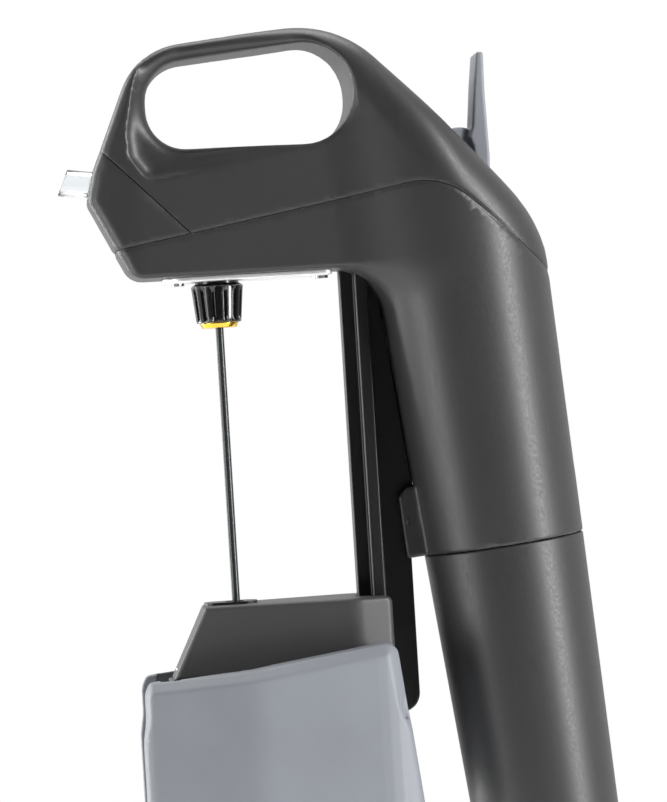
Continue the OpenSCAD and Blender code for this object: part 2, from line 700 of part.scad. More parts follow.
// ---- needle ----
module needle() color("#2c2e2e") {
    translate([0, 0, tip_z + 4]) cylinder(d = needle_d, h = head_z - tip_z - 3.5 + hub_foot, $fn = 32);
    translate([0, 0, tip_z]) cylinder(r1 = 0.15, d2 = needle_d, h = 4, $fn = 32);
    translate([0, 0, head_z + hub_foot]) cylinder(r = hub_r, h = socket_top - 1.1 - hub_foot);
}
module needle_nut() color("#121212") {
    flutes = 14;
    difference() {
        union() {
            translate([0, 0, nut_bottom_z]) cylinder(d1 = nut_d - 1.8, d2 = nut_d, h = nut_h - 0.6);
            translate([0, 0, nut_top_z - 0.6]) cylinder(d1 = nut_d, d2 = nut_d - 1.2, h = 0.6);
            translate([0, 0, nut_top_z - 0.3]) cylinder(r = nut_neck_r, h = nut_gap + manifold_floor);
        }
        translate([0, 0, nut_bottom_z - 1]) cylinder(d = needle_d, h = nut_h + 10, $fn = 32);
        for (i = [0:flutes - 1]) rotate([0, 0, 360 * (i + 0.5) / flutes])
            translate([nut_d / 2 - 0.62, 0, nut_bottom_z + 1.6]) rotate([0, 6.6, 0])
                translate([0, 0, -4]) cylinder(r = 0.55, h = nut_h + 1.4, $fn = 20);
    }
}
module needle_ring() color("#d4aa3c")
    translate([0, 0, nut_bottom_z - ring_t]) difference() {
        cylinder(r1 = nut_d / 2 - 2.2, r2 = nut_d / 2 - 1.6, h = ring_t);
        translate([0, 0, -1]) cylinder(r = needle_d / 2 + 0.6, h = 5, $fn = 32);
    }

// ---- cup and capsule ----
module capsule_cup() color("#3e3e40") on_tube() {
    top = seam_t - seam_gap;
    end_r = 5;
    difference() {
        translate([0, 0, cup_end_t]) rotate_extrude($fn = 96) polygon(rounded([
            [0, 0, 0], [cup_end_r - 0.6, 0, end_r], [cup_end_r, end_r + 3, 0],
            [seam_r - 0.05, top - cup_end_t, 0], [0, top - cup_end_t, 0]]));
        translate([0, 0, cup_end_t + cup_floor_t]) cylinder(
            r1 = cup_end_r - cup_wall, r2 = seam_r - cup_wall - 0.3, h = cup_len);
        translate([0, 0, seam_t - ring_down]) cylinder(r = ring_seat_r, h = 30);
    }
}
module cup_thread_ring() color("#9a9c9f") on_tube() {
    difference() {
        union() {
            translate([0, 0, seam_t - ring_down + 0.1])
                cylinder(r = ring_seat_r - 0.02, h = ring_down - 0.3);
            translate([0, 0, seam_t - 1]) cylinder(r = thread_r - 0.5, h = ring_up + 1);
            for (i = [0:2]) translate([0, 0, seam_t + 0.8 + 2.4 * i]) cylinder(r = thread_r, h = 1);
        }
        translate([0, 0, seam_t - ring_down - 1]) cylinder(r = ring_r, h = 40);
    }
}
module cup_cushion() color("#202020") on_tube()
    translate([0, 0, cup_end_t + cup_floor_t]) difference() {
        cylinder(r = cup_end_r - cup_wall - 0.05, h = cushion_t);
        translate([0, 0, cushion_floor_t]) cylinder(r = capsule_r + 0.3, h = 10);
    }
module gas_capsule() color("#c9cbce") on_tube() translate([0, 0, capsule_foot]) {
    tall = capsule_top - capsule_foot;
    wall = 1.4;
    difference() {
        rotate_extrude($fn = 96) polygon(rounded([
            [0, 0, 0], [capsule_r, 0, 4], [capsule_r, tall - neck_len - shoulder_len, 4],
            [capsule_neck_d / 2, tall - neck_len, 1.5], [capsule_neck_d / 2, tall, 0.6], [0, tall, 0]]));
        rotate_extrude($fn = 96) polygon(rounded([
            [0, wall, 0], [capsule_r - wall, wall, 3],
            [capsule_r - wall, tall - neck_len - shoulder_len - 0.8, 3],
            [1.2, tall - neck_len - 2, 0], [1.2, tall + 1, 0], [0, tall + 1, 0]]));
    }
}

// ---- clamp ----
module rail_slot(z0, z1) {
    translate([rail_x - slide_gap, -tongue_w / 2 - slide_gap, z0])
        cube([20, tongue_w + 2 * slide_gap, z1 - z0]);
    translate([rail_flange_x - slide_gap, -flange_w / 2 - slide_gap, z0])
        cube([flange_t + 2 * slide_gap, flange_w + 2 * slide_gap, z1 - z0]);
}
pad_zs = [base_t + 2, block_h - 7];
pad_h = 5;
module pad_spots(grow) for (z = pad_zs) both()
    translate([rail_flange_x - slide_gap, flange_w / 2 + 0.15, z - grow])
        cube([flange_t + 2 * slide_gap, pad_t, pad_h + 2 * grow]);

module clamp_block() color("#424244") {
    difference() {
        intersection() {
            side() polygon(rounded([
                [block_front - (block_h - base_t) * 0.5, base_t, 0], [block_rear_x, base_t, 0],
                [block_rear_x, block_h, 1.4], [block_front, block_h, 1]]));
            linear_extrude(60) polygon(rounded([
                [-30, -4, 0], [rail_x - 1.5, -block_w / 2, 8], [block_rear_x + 2, -block_w / 2 + 3.5, 2],
                [block_rear_x + 2, block_w / 2 - 3.5, 2], [rail_x - 1.5, block_w / 2, 8], [-30, 4, 0]]));
        }
        rail_slot(0, 60);
        pad_spots(0);
        cylinder(r = guide_r + guide_fit, h = 60);
        clamp_screw_spots() cylinder(r = 1.2, h = 12, $fn = 32);
        front_screw_spot() cylinder(r = 1.2, h = 5.3, $fn = 32);
    }
}
module clamp_screw_spots() for (y = [-7.5, 7.5]) translate([19, y, 2.4]) children();
module front_screw_spot() translate([-14, 0, 2.4]) children();

module clamp_base() color("#333335") {
    difference() {
        union() {
            linear_extrude(base_t) polygon(rounded([
                [-17, -5, 3], [-10, -12.8, 4], [block_rear_x - 6, -12.8, 3], [block_rear_x, -8, 2],
                [block_rear_x, 8, 2], [block_rear_x - 6, 12.8, 3], [-10, 12.8, 4], [-17, 5, 3]]));
            both() for (x = ear_x) {
                translate([x, 11, 0]) cube([ear_t, hinge_y - 11, hinge_z + ear_r - 0.2]);
                along_x(x, hinge_y, hinge_z) cylinder(r = ear_r, h = ear_t);
            }
        }
        rail_slot(-1, 60);
        translate([0, 0, -1]) cylinder(r = guide_r + guide_fit, h = 60);
        translate([0, 0, -1]) cylinder(r = lip_pad_r, h = lip_pad_t + 1);
        clamp_screw_spots() cylinder(r = 1.2, h = 12, center = true, $fn = 32);
        front_screw_spot() cylinder(r = 1.2, h = 12, center = true, $fn = 32);
        clamp_screw_spots() translate([0, 0, -3]) cylinder(r = 2.3, h = 3, $fn = 32);
        front_screw_spot() translate([0, 0, -3]) cylinder(r = 1.7, h = 3, $fn = 32);
        both() along_x(-40, hinge_y, hinge_z) cylinder(d = hinge_pin_d, h = 90);
    }
}
module clamp_screws() color("#8c8c8e") {
    clamp_screw_spots() mirror([0, 0, 1]) screw(1.2, 11, 2.2, 1.6);
    front_screw_spot() mirror([0, 0, 1]) screw(1.2, 5.2, 1.6, 0.7);
}
module needle_guide() color("#161617") {
    difference() {
        union() {
            translate([0, 0, lip_pad_t]) cylinder(r = guide_r, h = block_h - lip_pad_t);
            translate([0, 0, block_h]) linear_extrude(0.6) polygon(rounded([
                [-7.6, -4, 3], [5, -4, 3], [5, 4, 3], [-7.6, 4, 3]]));
        }
        cylinder(r = needle_d / 2 + slide_gap, h = 60, $fn = 32);
        translate([0, 0, block_h - 2]) cylinder(r1 = needle_d / 2 + slide_gap, r2 = 3, h = 3);
    }
}
module lip_pad() color("#202020") difference() {
    cylinder(r = lip_pad_r - 0.05, h = lip_pad_t);
    translate([0, 0, -1]) cylinder(r = 2.6, h = 10);
}
module bearing_pads() color("#e0e0dc") pad_spots(-0.02);
module hinge_pins() color("#9a9c9f") both()
    along_x(ear_x[0], hinge_y, hinge_z) cylinder(d = hinge_pin_d, h = ear_x[1] - ear_x[0] + ear_t);
module wing_spring() color("#8c8c8e")
    along_x(spring_x, hinge_y, hinge_z) coil(hinge_pin_d / 2 + 0.8, 0.4, spring_len, 4, 12);
module wing_spring_far() wing_spring();
module wing_spring_near() mirror([0, 1, 0]) wing_spring();

module wing_column(d) translate([0, 0, -60]) linear_extrude(90) polygon(rounded(inset(wing_plan, d)));

// near wing, open below and towards the neck; the far one mirrors it
module wing() color("#7d8286") {
    skin = wing_wall - 0.6;
    difference() {
        union() {
            difference() {
                intersection() {
                    side() polygon(rounded(wing_outline));
                    wing_column(0);
                }
                intersection() {
                    union() {
                        side() polygon(rounded(inset(wing_outline, skin)));
                        translate([skin - wing_front, -wing_half, -60])
                            cube([wing_front + rail_x + 6, wing_half, 56 - wing_drop / 2]);
                    }
                    wing_column(wing_wall);
                }
                translate([-50, -wing_center_gap, -60]) cube([120, 30, 90]);
                intersection() {
                    translate([-19.5, -15.5, -2.2]) cube([80, 30, 30]);
                    wing_column(wing_wall);
                }
            }
            // carrier behind the rubber grip, and ribs to the hinge knuckles
            intersection() {
                union() {
                    translate([-grip_r, -wing_half, grip_top - grip_h])
                        cube([2 * grip_r, wing_half - 5, grip_h]);
                    for (x = knuckle_x) translate([x, -wing_half, hinge_z - 1.5])
                        cube([knuckle_len, wing_half - hinge_y, 3]);
                }
                wing_column(wing_wall - 0.5);
            }
            for (x = knuckle_x) along_x(x, -hinge_y, hinge_z) cylinder(r = ear_r, h = knuckle_len);
        }
        translate([0, 0, -60]) cylinder(r = grip_r, h = 90);
        along_x(ear_x[0], -hinge_y, hinge_z)
            cylinder(r = hinge_pin_d / 2 + running_gap, h = ear_x[1] - ear_x[0] + ear_t);
    }
}
module grip() color("#1c1c1d") difference() {
    intersection() {
        translate([0, 0, grip_top - grip_h]) cylinder(r = grip_r, h = grip_h);
        translate([-50, -50, -60]) cube([100, 45, 60]);
    }
    translate([0, 0, -60]) cylinder(r = neck_r, h = 90);
    translate([0, 0, grip_top - grip_h]) cylinder(r1 = neck_r + 2, r2 = neck_r, h = 3);
}
module wing_near() wing();
module wing_far() mirror([0, 1, 0]) wing();
module grip_near() grip();
module grip_far() mirror([0, 1, 0]) grip();

clamp_block();
clamp_base();
clamp_screws();
needle_guide();
lip_pad();
bearing_pads();
hinge_pins();
wing_spring_near();
wing_spring_far();
wing_near();
grip_near();
wing_far();
grip_far();
handle_shell();
lower_housing();
spout_cover();
base_plate();
base_plate_screws();
housing_screws();
manifold();
spout();
spout_seal();
needle_seal();
gas_tube();
regulator_body();
regulator_cap();
regulator_screws();
stem_seal();
relief_valve();
piercing_pin();
capsule_seal();
thread_collar();
rail();
rail_screw();
rail_pin();
trigger_pin();
trigger_spring();
valve_spring();
trigger();
valve_stem();
valve_piston();
needle();
needle_nut();
needle_ring();
capsule_cup();
cup_thread_ring();
cup_cushion();
gas_capsule();
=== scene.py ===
import json
import math
import bpy
import numpy as np
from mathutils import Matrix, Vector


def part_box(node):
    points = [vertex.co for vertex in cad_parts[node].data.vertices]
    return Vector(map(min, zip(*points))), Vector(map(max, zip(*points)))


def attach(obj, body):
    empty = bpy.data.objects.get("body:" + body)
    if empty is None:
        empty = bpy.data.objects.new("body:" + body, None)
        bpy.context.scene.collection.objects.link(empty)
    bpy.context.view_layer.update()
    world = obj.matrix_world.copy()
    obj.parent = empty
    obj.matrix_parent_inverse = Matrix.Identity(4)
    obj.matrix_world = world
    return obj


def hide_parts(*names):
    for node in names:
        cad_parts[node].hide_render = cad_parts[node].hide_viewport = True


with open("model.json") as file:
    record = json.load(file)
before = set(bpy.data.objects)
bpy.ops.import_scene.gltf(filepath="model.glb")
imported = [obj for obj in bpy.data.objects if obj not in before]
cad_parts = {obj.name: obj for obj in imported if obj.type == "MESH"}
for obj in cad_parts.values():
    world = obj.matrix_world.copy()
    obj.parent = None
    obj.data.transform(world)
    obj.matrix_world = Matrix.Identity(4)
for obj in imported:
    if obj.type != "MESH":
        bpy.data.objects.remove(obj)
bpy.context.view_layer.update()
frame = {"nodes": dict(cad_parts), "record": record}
import openvdb as vdb
from mathutils import Matrix, Vector

MM = 0.001


# ---- signed distance fields, in millimetres, negative inside ----
def unit(v):
    return v / np.hypot(*v)


def rounded(corners, n=10):
    """Closed outline with each (x, y, radius) corner drawn as an arc."""
    out = []
    for i, (x, y, r) in enumerate(corners):
        b = np.array((x, y), float)
        if r == 0:
            out.append(b)
            continue
        u = unit(np.array(corners[i - 1][:2], float) - b)
        v = unit(np.array(corners[(i + 1) % len(corners)][:2], float) - b)
        half = math.acos(u @ v) / 2
        o = b + unit(u + v) * r / math.sin(half)
        s, e = b + u * r / math.tan(half) - o, b + v * r / math.tan(half) - o
        a0 = math.atan2(s[1], s[0])
        d = (math.atan2(e[1], e[0]) - a0 + math.pi) % (2 * math.pi) - math.pi
        turn = [a0 + d * k / n for k in range(n + 1)]
        out += [o + r * np.array((math.cos(a), math.sin(a))) for a in turn]
    return np.array(out)


def outline(points, u, v):
    """Signed distance from (u, v) to a closed polygon."""
    u, v = np.broadcast_arrays(u, v)
    best = np.full(u.shape, 1e9)
    inside = np.zeros(u.shape, bool)
    for (au, av), (bu, bv) in zip(points, np.roll(points, -1, 0)):
        eu, ev = bu - au, bv - av
        wu, wv = u - au, v - av
        t = np.clip((wu * eu + wv * ev) / (eu * eu + ev * ev + 1e-12), 0, 1)
        best = np.minimum(best, (wu - eu * t) ** 2 + (wv - ev * t) ** 2)
        if av != bv:
            inside ^= ((av > v) != (bv > v)) & (u < eu * (v - av) / ev + au)
    return np.where(inside, -1, 1) * np.sqrt(best)


def cut(a, b, r):
    """Intersection of a and b with its edge rounded to radius r."""
    return np.minimum(np.maximum(a, b), -r) + np.hypot(np.maximum(a + r, 0), np.maximum(b + r, 0))


def join(a, b, r):
    """Union of a and b with a fillet of radius r."""
    return np.maximum(np.minimum(a, b), r) - np.hypot(np.maximum(r - a, 0), np.maximum(r - b, 0))


def step(lo, hi, v):
    t = np.clip((v - lo) / (hi - lo), 0, 1)
    return t * t * (3 - 2 * t)


def box(x, y, z, lo, hi, r=0.0):
    q = [np.abs(p - (a + b) / 2) - (b - a) / 2 + r for p, a, b in zip((x, y, z), lo, hi)]
    out = np.sqrt(sum(np.maximum(p, 0) ** 2 for p in q))
    return out + np.minimum(np.maximum(np.maximum(q[0], q[1]), q[2]), 0) - r


class Field:
    """A field sampled on a grid, to skin it and to read its slope."""

    def __init__(self, fn, low, high, pitch, mirrored=True):
        low, high = np.array(low, float), np.array(high, float)
        if mirrored:
            low[1] = 0
        n = np.ceil((high - low) / pitch).astype(int) + 3
        self.origin = low - pitch
        if mirrored:
            self.origin[1] = 0
        x, y, z = [self.origin[i] + pitch * np.arange(n[i]) for i in range(3)]
        v = fn(x[:, None, None], y[None, :, None], z[None, None, :])
        v = np.broadcast_to(v, n).astype(np.float32)
        if mirrored:
            v = np.concatenate([v[:, :0:-1], v], 1)
            self.origin[1] = -pitch * (n[1] - 1)
        self.v, self.pitch = v, pitch

    def skin(self, adaptivity=0.0):
        p = self.pitch
        grid = vdb.FloatGrid(3 * p)
        grid.copyFromArray(np.clip(self.v, -3 * p, 3 * p))
        points, tris, quads = grid.convertToPolygons(0.0, adaptivity)
        return points * p + self.origin, tris, quads

    def at(self, q):
        g = (q - self.origin) / self.pitch
        i = np.clip(np.floor(g).astype(int), 0, np.array(self.v.shape) - 2)
        f = g - i
        out = 0
        for k in range(8):
            d = np.array(((k >> 2) & 1, (k >> 1) & 1, k & 1))
            w = np.prod(np.where(d, f, 1 - f), 1)
            j = i + d
            out = out + w * self.v[j[:, 0], j[:, 1], j[:, 2]]
        return out

    def slope(self, q):
        h = self.pitch * 0.6
        g = np.stack([self.at(q + h * e) - self.at(q - h * e) for e in np.eye(3)], 1)
        return g / np.maximum(np.linalg.norm(g, axis=1, keepdims=True), 1e-9)


# ---- meshes ----
def new_mesh(name, points, faces):
    """Mesh from points in millimetres and arrays of equal-sided faces."""
    mesh = bpy.data.meshes.new(name)
    faces = [np.asarray(f) for f in faces if len(f)]
    size = np.concatenate([np.full(len(f), f.shape[1]) for f in faces])
    mesh.vertices.add(len(points))
    mesh.vertices.foreach_set("co", (np.asarray(points) * MM).astype(np.float32).ravel())
    mesh.loops.add(int(size.sum()))
    mesh.loops.foreach_set("vertex_index", np.concatenate([f.ravel() for f in faces]).astype(np.int32))
    mesh.polygons.add(len(size))
    mesh.polygons.foreach_set("loop_start", (np.cumsum(size) - size).astype(np.int32))
    mesh.update(calc_edges=True)
    mesh.validate()
    obj = bpy.data.objects.new(name, mesh)
    bpy.context.collection.objects.link(obj)
    return obj


def volume(obj):
    m = obj.data
    m.calc_loop_triangles()
    co = np.empty(len(m.vertices) * 3, np.float32)
    m.vertices.foreach_get("co", co)
    tri = np.empty(len(m.loop_triangles) * 3, np.int32)
    m.loop_triangles.foreach_get("vertices", tri)
    p = co.reshape(-1, 3)[tri.reshape(-1, 3)]
    return np.einsum("ij,ij->i", p[:, 0], np.cross(p[:, 1], p[:, 2])).sum() / 6


def skin_object(name, field, adaptivity=0.0):
    points, tris, quads = field.skin(adaptivity)
    obj = new_mesh(name, points, [tris, quads])
    if volume(obj) < 0:
        obj.data.flip_normals()
    return obj


def shade(obj, field, follow=0.5):
    """Normals from the field where a face lies on it, and flat ones on cut faces."""
    m = obj.data
    co = np.empty(len(m.vertices) * 3, np.float32)
    m.vertices.foreach_get("co", co)
    smooth = field.slope(co.reshape(-1, 3) / MM)
    flat = np.empty(len(m.polygons) * 3, np.float32)
    m.polygons.foreach_get("normal", flat)
    flat = flat.reshape(-1, 3)
    total = np.empty(len(m.polygons), np.int32)
    m.polygons.foreach_get("loop_total", total)
    face = np.repeat(np.arange(len(total)), total)
    vert = np.empty(len(m.loops), np.int32)
    m.loops.foreach_get("vertex_index", vert)
    n = smooth[vert]
    off = np.einsum("ij,ij->i", n, flat[face]) < follow
    n[off] = flat[face][off]
    m.shade_smooth()
    m.normals_split_custom_set(n.astype(np.float32))


def apply_boolean(obj, cutter, operation):
    mod = obj.modifiers.new("cut", "BOOLEAN")
    mod.operation, mod.object, mod.solver = operation, cutter, "MANIFOLD"
    mesh = bpy.data.meshes.new_from_object(obj.evaluated_get(bpy.context.evaluated_depsgraph_get()))
    obj.modifiers.clear()
    obj.data = mesh


def copy_of(obj, name):
    new = bpy.data.objects.new(name, obj.data.copy())
    bpy.context.collection.objects.link(new)
    return new


def prism(points, half=40.0):
    """Closed slab with an outline in X and Z, across the width."""
    n = len(points)
    ring = [np.column_stack([points[:, 0], np.full(n, y), points[:, 1]]) for y in (-half, half)]
    i = np.arange(n)
    sides = np.column_stack([i, (i + 1) % n, (i + 1) % n + n, i + n])
    obj = new_mesh("cutter", np.concatenate(ring), [sides, i[None, ::-1], (i + n)[None]])
    if volume(obj) < 0:
        obj.data.flip_normals()
    return obj


def drop(*objs):
    for o in objs:
        bpy.data.objects.remove(o)


def lathe(name, profile, turns=128, place=None):
    """Ring-shaped solid turned from a closed (radius, height) profile; place maps its points to the frame."""
    profile = np.asarray(profile, float)
    a = np.arange(turns) * 2 * math.pi / turns
    k = len(profile)
    p = np.stack([profile[None, :, 0] * np.cos(a)[:, None], profile[None, :, 0] * np.sin(a)[:, None],
                  np.broadcast_to(profile[None, :, 1], (turns, k))], 2).reshape(-1, 3)
    i, j = np.meshgrid(np.arange(turns), np.arange(k), indexing="ij")
    i2, j2 = (i + 1) % turns, (j + 1) % k
    quads = np.stack([i * k + j, i2 * k + j, i2 * k + j2, i * k + j2], 2).reshape(-1, 4)
    obj = new_mesh(name, p if place is None else place(p), [quads])
    if volume(obj) < 0:
        obj.data.flip_normals()
    return obj


# ---- sizes in millimetres; the head's heights are above its own underside ----
HEAD_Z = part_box("base_plate")[1][2] / MM
TILT = math.radians(5.5)
TUBE_X, TUBE_R, SEAM_R, SEAM_T = 58.3, 20.8, 19.2, -67.7
CUP_END_T, CUP_END_R = -145.7, 17.3
WALL = 2.4
HALF_W = 12.0
FLOOR, LOOP_FRONT, LOOP_REAR = 29.8, -14.7, 33.9
OUTLINE = [(24.7, -90, 0), (95, -90, 0), (95, -9.1, 0), (31.2, 58.6, 25), (-16.2, 54, 17),
           (-28.2, 25.6, 10), (-29.7, 18.8, 3)]
HOLE = [(LOOP_FRONT, FLOOR + 0.6, 9.3), (LOOP_REAR, FLOOR - 0.5, 11.6),
        (LOOP_REAR, 54.8, 11.4), (LOOP_FRONT, 50, 9.5)]
KNEE, RISE, FALL = (52.9, 20.0), math.tan(math.radians(9.7)), math.tan(math.radians(41.9))
LOWER = [(-60, -100, 0), (140, -100, 0), (140, KNEE[1] - (140 - KNEE[0]) * FALL, 0), (*KNEE, 17),
         (-60, KNEE[1] - (KNEE[0] + 60) * RISE, 0)]
COVER = [(-60, -10, 0), (-2.7, -10, 0), (-2.7, 6.6, 0), (-32.7, 37.3, 0), (-60, 37.3, 0)]
SEAM_GAP = 0.16
TRIGGER = (59.4, 25.0)
HUB_R, HUB_HALF, FIN_TOP, FIN_HALF, SLOT_HALF = 7.1, 3.8, 49.7, 5.5, 6.1
PIN_R, PIN_HALF = 1.52, 10.6
SPOUT = (-27.7, 23.2)
SPOUT_TILT, SPOUT_R, SPOUT_IN, SPOUT_OUT = math.radians(8), 3.2, 24, 8.3
SPOUT_WALL, SPOUT_SLANT = 0.8, math.radians(15)
POCKET = [(-13.5, 60, 0), (-17.8, 44.6, 6), (-19.8, 34, 8), (-19.3, 28.4, 4), (-15.2, 22.8, 4),
          (-3, 24.2, 60), (16, 27.2, 40), (44, 35, 0), (30, 75, 0)]
RAIL_X, FLANGE_X, WEB_X, WEB_REAR = 29.0, 32.3, 35.3, 42.4
TONGUE_HALF, FLANGE_HALF, WEB_HALF, SLIDE_GAP = 2.5, 6.0, 1.6, 0.3
LUG_FRONT, LUG_TOP, LUG_HALF = 39.8, -52.6, 4.2
RAIL_END = -6.4 - HEAD_Z
NUT_WELL_R, NEEDLE_R, NEEDLE_TIP = 5.8, 0.95, 8.0


def tube_coords(x, z):
    dx, dz = x - TUBE_X, z
    return dx * math.cos(TILT) + dz * math.sin(TILT), -dx * math.sin(TILT) + dz * math.cos(TILT)


def tube_place(p):
    """Points given round the tube's axis, moved to the frame."""
    x = TUBE_X + p[:, 0] * math.cos(TILT) - p[:, 2] * math.sin(TILT)
    z = HEAD_Z + p[:, 0] * math.sin(TILT) + p[:, 2] * math.cos(TILT)
    return np.column_stack([x, p[:, 1], z])


def tube_radius(t):
    return TUBE_R + np.minimum(t, 0) * (TUBE_R - SEAM_R) / -SEAM_T


def tube_front(z):
    return TUBE_X - z * math.tan(TILT) - (TUBE_R + (TUBE_R - SEAM_R) / -SEAM_T * z) / math.cos(TILT)


# ---- head ----
def half_width(x, z):
    """Half the head's width, with the sunk area round the finger hole."""
    nose = HALF_W - 4.2 * (1 - step(-38, -17, x))
    sunk = -outline(rounded(POCKET), x, z)
    depth = (2.4 - 2.1 * step(-17, 4, x)) * (1 - np.exp(-np.maximum(sunk, 0) / 1.4))
    slant = 0.16 * np.maximum(sunk, 0) * step(-14, -4, x) * (1 - step(8, 34, x))
    return nose - depth - np.minimum(slant, 1.2)


def head_solid(x, y, z):
    """Both shells of the head and the tube, without the finger hole; z is above the head's underside."""
    u, t = tube_coords(x, z)
    tube = np.hypot(u, y) - tube_radius(t)
    body = cut(np.abs(y) - half_width(x, z), -z, 1.2)
    # the body ends inside the tube
    body = cut(body, x - TUBE_X, 8.0)
    both = join(body, tube, 11.0)
    # narrow edge on the bar, broad on the slope and less so on the knee
    edge = 2.6 + 8.8 * step(8, 46, x) - 5.6 * step(58, 76, x)
    side = outline(rounded(OUTLINE), x, z)
    return cut(side, both, edge)


def lug(x, y, z):
    side = outline(np.array([(LUG_FRONT + 1.4, SEAM_T - 4), (LUG_FRONT + 9, SEAM_T - 4),
                             (LUG_FRONT + 9, LUG_TOP), (LUG_FRONT + 2.1, LUG_TOP),
                             (LUG_FRONT, LUG_TOP - 2.4)]), x, z)
    return cut(side, np.abs(y) - LUG_HALF, 0.7)


def head_field(x, y, z):
    z = z - HEAD_Z
    u, t = tube_coords(x, z)
    solid = head_solid(x, y, z)
    hole = outline(rounded(HOLE), x, z)
    # the hole's rim is soft in front and crisper behind and under the bar
    under_bar = step(38, 48, z) * step(-6, 10, x) * (1 - step(22, 30, x))
    rim = 3.4 - 2.4 * step(-6, 14, x) + 1.2 * under_bar
    out = cut(solid, -hole, rim)
    out = join(out, np.maximum(lug(x, y, z), -np.hypot(u, y) + SEAM_R - 2), 0.8)
    # grooves along the seams
    lower, cover = outline(rounded(LOWER, 16), x, z), outline(rounded(COVER, 16), x, z)
    groove = 0.34 * np.exp(-(lower / 0.42) ** 2)
    groove = np.maximum(groove, 0.18 * np.exp(-(cover / 0.35) ** 2) * (lower > 0) * (z > 2))
    out = out + groove
    out = cut(out, SEAM_T - t, 0.5)
    # hollow inside the walls, below the finger hole's floor
    above = outline(rounded([(-60, FLOOR - WALL, 0), (LOOP_REAR + WALL, FLOOR - WALL - 0.9, 8),
                             (LOOP_REAR + WALL, 79, 0), (-60, 79, 0)]), x, z)
    inside = np.maximum(solid + WALL, -above)
    # cheeks for the trigger's pin stand in the hollow
    cheek = box(x, np.abs(y), z, (TRIGGER[0] - 4, 8.2, TRIGGER[1] - 5),
                (TRIGGER[0] + 4, PIN_HALF, TRIGGER[1] + 15))
    out = np.maximum(out, -np.maximum(inside, -cheek))
    slot = outline(np.array([(TRIGGER[0] - 5.3, TRIGGER[1] + 1.8), (TRIGGER[0] + 11.5, TRIGGER[1] - 16.5),
                             (TRIGGER[0] + 11.5, TRIGGER[1] + 4), (TRIGGER[0] - 5.3, TRIGGER[1] + 22)]), x, z)
    out = cut(out, -np.maximum(slot, np.abs(y) - SLOT_HALF), 0.4)
    pin = np.hypot(x - TRIGGER[0], z - TRIGGER[1]) - PIN_R
    out = np.maximum(out, -np.maximum(pin, np.abs(y) - PIN_HALF))
    # spout's hole
    d = (x - SPOUT[0]) * math.sin(SPOUT_TILT) + (z - SPOUT[1]) * math.cos(SPOUT_TILT)
    bore = np.maximum(np.hypot(d, y) - SPOUT_R - 0.2, x + 12)
    out = cut(out, -bore, 0.3)
    # slot for the rail's tab, needle and screws in the underside
    tab = box(x, y, z, (0, -1.7, SEAM_T - 4), (WEB_REAR + 1.6, 1.7, LUG_TOP + 1))
    out = np.maximum(out, -tab)
    out = np.maximum(out, -np.maximum(np.hypot(x, y) - NUT_WELL_R, z - 6))
    screw = np.hypot(x - 20, np.abs(y) - 7) - 2.2
    return np.maximum(out, -np.maximum(screw, z - 1.2))


def build_head():
    field = Field(head_field, (-31, -23, 29), (87, 23, 161), 0.5)
    whole = skin_object("head", field, 0.02)
    raised = lambda pts, dx, dz: rounded(pts, 24) + np.array((dx, HEAD_Z + dz))
    lower, lower_up = prism(raised(LOWER, 0, 0)), prism(raised(LOWER, 0, SEAM_GAP))
    cover, cover_in = prism(raised(COVER, 0, 0)), prism(raised(COVER, SEAM_GAP, SEAM_GAP))
    shells = []
    for name, steps in (("lower_shell", [(lower, "INTERSECT")]),
                        ("upper_shell", [(lower_up, "DIFFERENCE"), (cover_in, "DIFFERENCE")]),
                        ("front_cover", [(lower_up, "DIFFERENCE"), (cover, "INTERSECT")])):
        piece = copy_of(whole, name)
        for cutter, operation in steps:
            apply_boolean(piece, cutter, operation)
        shade(piece, field)
        shells.append(piece)
    drop(whole, lower, lower_up, cover, cover_in)
    return shells


def built(name, fn, low, high, pitch, mirrored=True, adaptivity=0.0):
    field = Field(fn, low, high, pitch, mirrored)
    obj = skin_object(name, field, adaptivity)
    shade(obj, field)
    return obj


# ---- trigger ----
def trigger_field(x, y, z):
    dx, dz = x - TRIGGER[0], z - HEAD_Z - TRIGGER[1]
    top = FIN_TOP - TRIGGER[1]
    hub = cut(np.hypot(dx, dz) - HUB_R, np.abs(y) - HUB_HALF, 0.6)
    nub = cut(np.hypot(dx + 3.2, dz + 5.2) - 2, np.abs(y) - 4, 0.4)
    fin = outline(rounded([(3.4, -3.2, 0), (5.2, -7.2, 0.8), (6.9, -7.2, 0.8), (7.1, 1, 12),
                           (6.8, top - 9, 30), (7, top, 0.8), (5.2, top, 0.8), (4.2, top - 8, 20),
                           (3.3, 7.2, 1.5), (2.4, 4.5, 0), (3.2, 2.2, 0)]), dx, dz)
    fin = cut(fin, np.abs(y) - FIN_HALF, 0.7)
    out = join(join(hub, nub, 0.4), fin, 0.8)
    return np.maximum(out, PIN_R + 0.03 - np.hypot(dx, dz))


# ---- rail ----
RAIL_PIN_Z = -60.8


